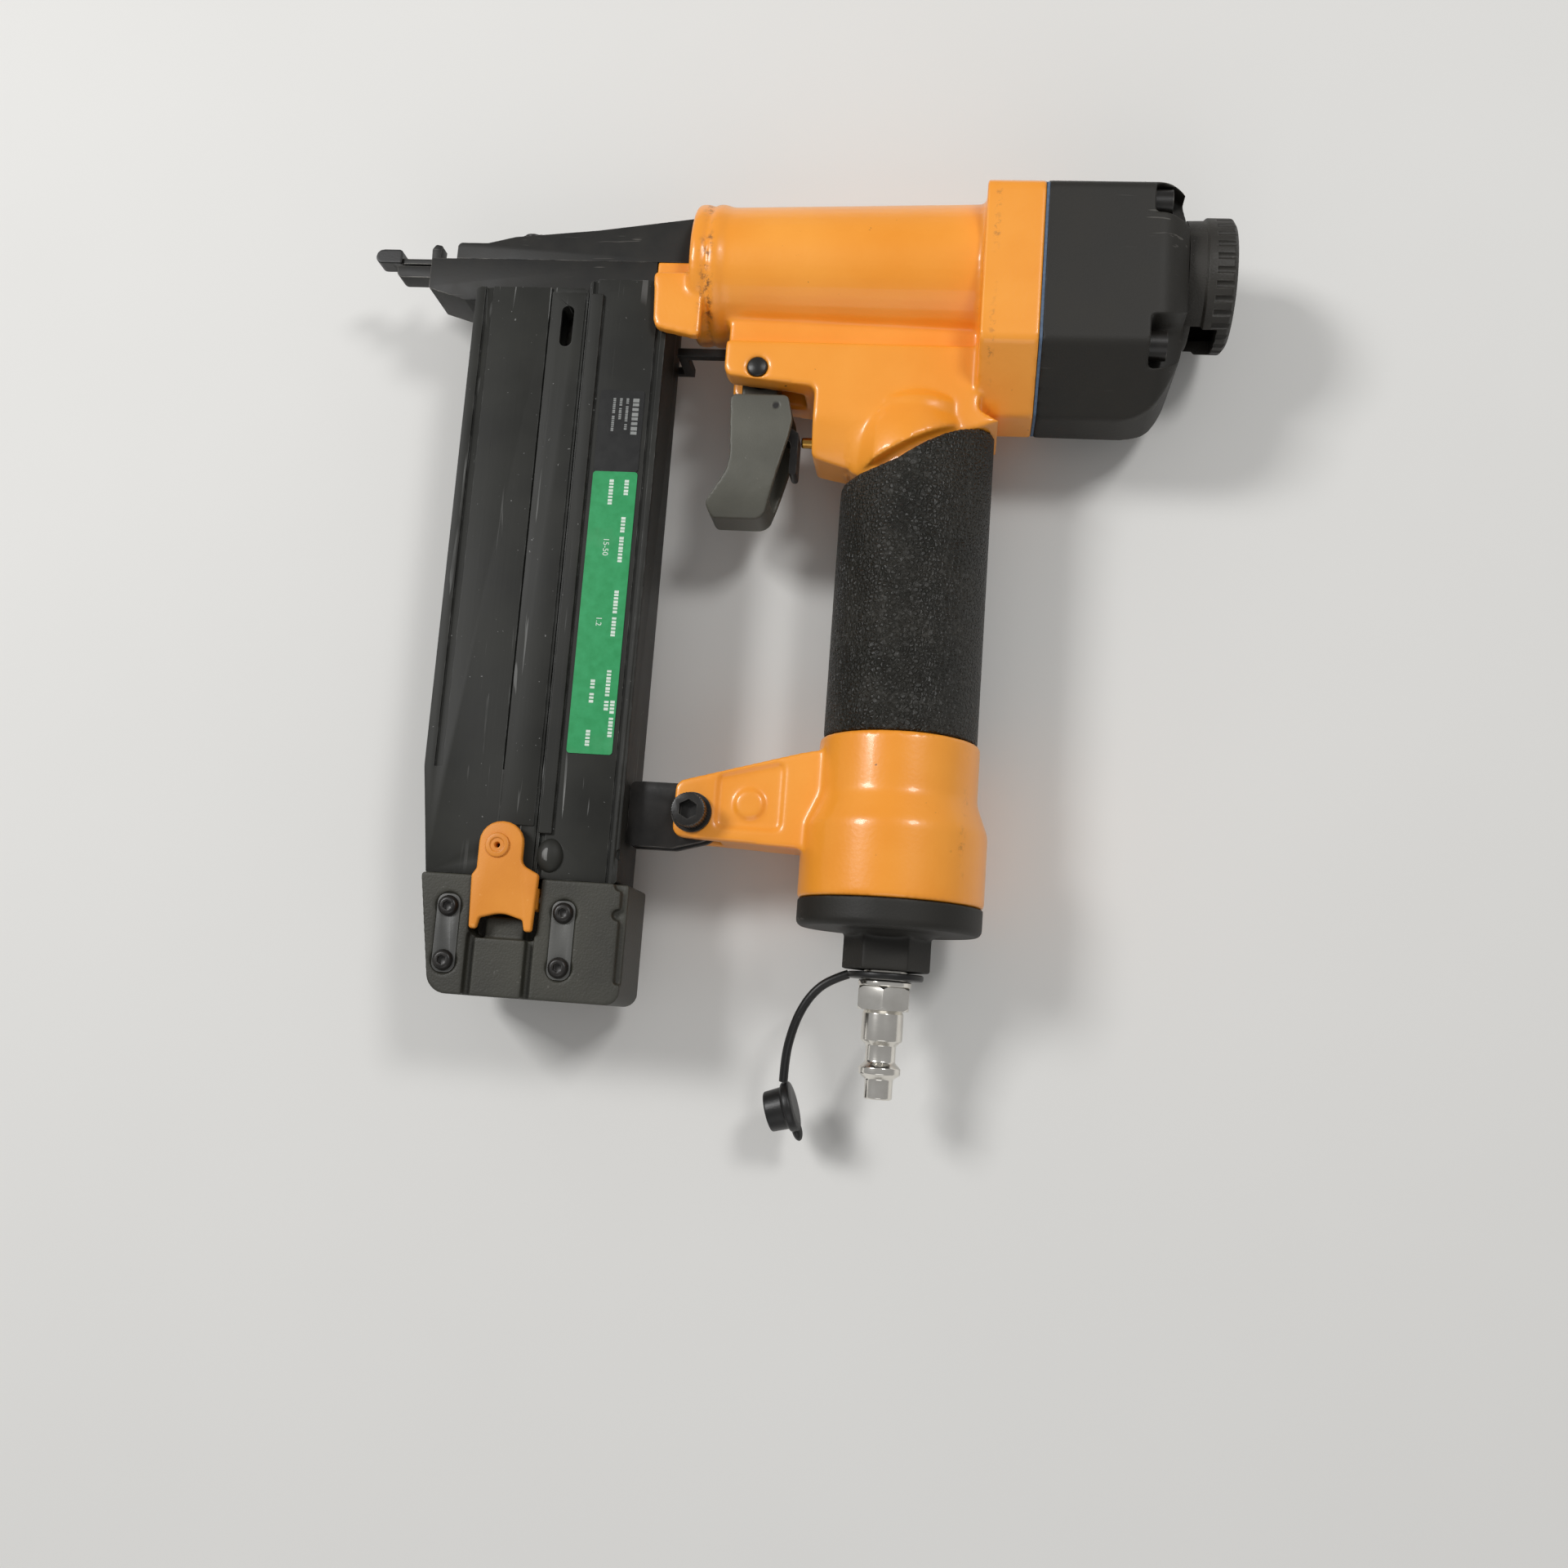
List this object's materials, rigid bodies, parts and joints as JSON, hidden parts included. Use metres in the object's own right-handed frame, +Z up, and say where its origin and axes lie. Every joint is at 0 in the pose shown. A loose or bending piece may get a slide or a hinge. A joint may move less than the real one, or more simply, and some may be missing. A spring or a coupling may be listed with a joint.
{
  "type": "pneumatic brad nailer",
  "caption": "Pneumatic brad nailer on its side: painted barrel and handle, head cap, rubber grip, trigger, sliding magazine with latch, contact arm, exhaust deflector and air plug.",
  "frame": {"origin": "centre of the tool's length and height, on the plane that its head's side flat lies on", "axes": "+X along the driver from the nose to the exhaust knob, +Y from the air plug up to the top of the head, +Z up from the side that the tool lies on"},
  "size_m": [0.264, 0.282, 0.054],
  "materials": {
    "orange_paint": "gloss enamel with a light orange peel",
    "black_paint": "satin black",
    "magazine_paint": "satin black anodised extrusion",
    "black_plastic": "satin moulded",
    "grey_plastic": "matt moulded",
    "grip_rubber": "fine pebble grain",
    "seal_rubber": "smooth",
    "strap_rubber": "smooth moulded",
    "gasket_fibre": "dull pressed fibre",
    "chrome_plate": "bright",
    "black_steel": "black oxide",
    "bright_steel": "ground",
    "spring_steel": "drawn wire",
    "cast_alloy": "machined",
    "valve_brass": "turned",
    "orange_plastic": "gloss",
    "label_green": "printed film",
    "label_black": "printed film",
    "tip_plastic": "soft moulded",
    "brad_wire": "galvanised wire"
  },
  "bodies": {
    "tool": {"main_housing": "orange_paint", "head_gasket": "gasket_fibre", "head_cap": "black_paint", "cap_screws": "black_steel", "deflector_screw": "black_steel", "cylinder_sleeve": "cast_alloy", "cylinder_o_rings": "seal_rubber", "bumper": "seal_rubber", "head_valve_spring": "spring_steel", "trigger_valve_body": "valve_brass", "valve_spring": "spring_steel", "trigger_pin": "black_steel", "grip_sleeve": "grip_rubber", "tank_end_cap": "black_paint", "end_cap_o_ring": "seal_rubber", "air_plug": "chrome_plate", "tether_ring": "strap_rubber", "tether_strap": "strap_rubber", "dust_cap": "strap_rubber", "driver_guide": "black_steel", "nose_front_plate": "black_steel", "nose_screws": "black_steel", "contact_arm_spring": "spring_steel", "fixed_magazine": "magazine_paint", "label_scale": "label_black", "label_name": "label_green", "brad_strip": "brad_wire", "magazine_bracket": "black_steel", "magazine_bolt": "black_steel", "bolt_washer": "black_steel", "bolt_nut": "black_steel"},
    "deflector": {"exhaust_deflector": "black_plastic"},
    "driver": {"piston": "cast_alloy", "piston_o_ring": "seal_rubber", "driver_blade": "bright_steel"},
    "head_valve": {"head_valve": "black_plastic"},
    "trigger": {"trigger": "grey_plastic", "lever_pin": "bright_steel"},
    "trigger_lever": {"trigger_lever": "bright_steel"},
    "valve_stem": {"valve_stem": "valve_brass"},
    "contact_arm": {"contact_arm": "black_steel", "no_mar_tip": "tip_plastic"},
    "magazine_slide": {"sliding_magazine": "magazine_paint", "magazine_end_cap": "black_plastic", "end_cap_strips": "black_steel", "end_cap_screws": "bright_steel", "latch_pin": "bright_steel", "latch_spring": "spring_steel", "pusher_spring": "spring_steel"},
    "latch": {"latch": "orange_plastic", "latch_rivet": "bright_steel"},
    "pusher": {"pusher": "bright_steel"}
  },
  "joints": [
    {"name": "deflector_turn", "type": "hinge", "parent": "tool", "child": "deflector", "pos_m": [0.1225, 0.111, 0.027], "axis": [1, 0, 0], "continuous": true},
    {"name": "driver_stroke", "type": "slide", "parent": "tool", "child": "driver", "axis": [-1, 0, 0], "range_m": [0, 0.0845]},
    {"name": "head_valve_lift", "type": "slide", "parent": "tool", "child": "head_valve", "axis": [1, 0, 0], "range_m": [0, 0.004], "stiffness_N_per_m": 800, "springref_m": -0.01, "deforming": ["head_valve_spring"]},
    {"name": "trigger_pull", "type": "hinge", "parent": "tool", "child": "trigger", "pos_m": [-0.006, 0.076, 0.027], "axis": [0, 0, 1], "range_deg": [0, 8], "stiffness_Nm_per_rad": 0.4, "springref_deg": -8.59},
    {"name": "trigger_lever_swing", "type": "hinge", "parent": "trigger", "child": "trigger_lever", "pos_m": [0, 0.0655, 0.027], "axis": [0, 0, 1], "range_deg": [-8, 1.5]},
    {"name": "valve_stem_push", "type": "slide", "parent": "tool", "child": "valve_stem", "axis": [1, 0, 0], "range_m": [0, 0.0026], "deforming": ["valve_spring"]},
    {"name": "contact_arm_push", "type": "slide", "parent": "tool", "child": "contact_arm", "axis": [1, 0, 0], "range_m": [0, 0.0075], "stiffness_N_per_m": 400, "springref_m": -0.012, "deforming": ["contact_arm_spring"]},
    {"name": "magazine_open", "type": "slide", "parent": "tool", "child": "magazine_slide", "axis": [0, -1, 0], "range_m": [0, 0.15]},
    {"name": "latch_press", "type": "hinge", "parent": "magazine_slide", "child": "latch", "pos_m": [-0.0663, -0.086, 0.037], "axis": [1, 0, 0], "range_deg": [-4.5, 0], "stiffness_Nm_per_rad": 0.3, "springref_deg": 5.73, "deforming": ["latch_spring"]},
    {"name": "pusher_travel", "type": "slide", "parent": "magazine_slide", "child": "pusher", "axis": [0, -1, 0], "range_m": [0, 0.07], "stiffness_N_per_m": 30, "springref_m": -0.1, "deforming": ["pusher_spring"]}
  ],
  "couplings": [
    {"joint": "valve_stem_push", "follows": "trigger_pull", "m_per_rad": 0.0179}
  ]
}
